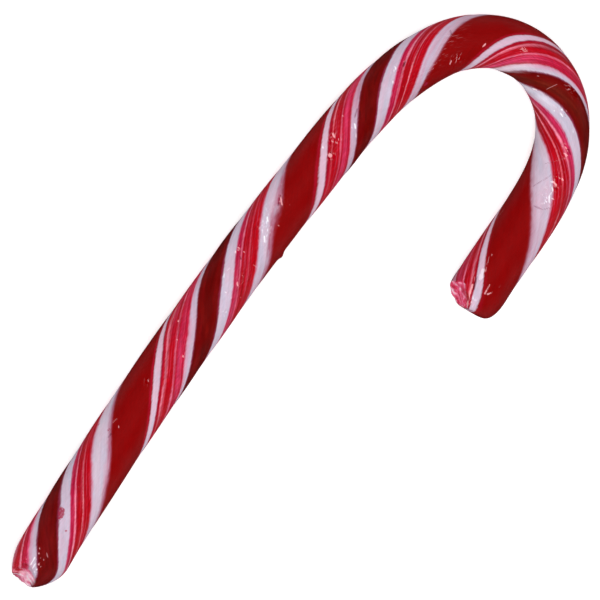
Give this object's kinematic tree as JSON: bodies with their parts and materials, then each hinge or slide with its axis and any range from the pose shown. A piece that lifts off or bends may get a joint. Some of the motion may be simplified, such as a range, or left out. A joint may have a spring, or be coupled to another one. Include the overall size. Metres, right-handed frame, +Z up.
{
  "type": "candy cane",
  "caption": "Candy cane lying on its side: a thick hand-pulled rope of boiled sugar, twisted in crimson, burgundy, rose and white bands and bent into a crook.",
  "frame": {"origin": "on the surface that the cane lies on, under the middle of its bounding box", "axes": "+Z up from the surface; +Y along the straight shaft, from its tail to the crook; +X from the shaft towards the hook's free leg"},
  "size_m": [0.0626, 0.1764, 0.0129],
  "materials": {
    "pulled_sugar": null
  },
  "bodies": {
    "root": {"candy_cane": "pulled_sugar"}
  },
  "joints": []
}
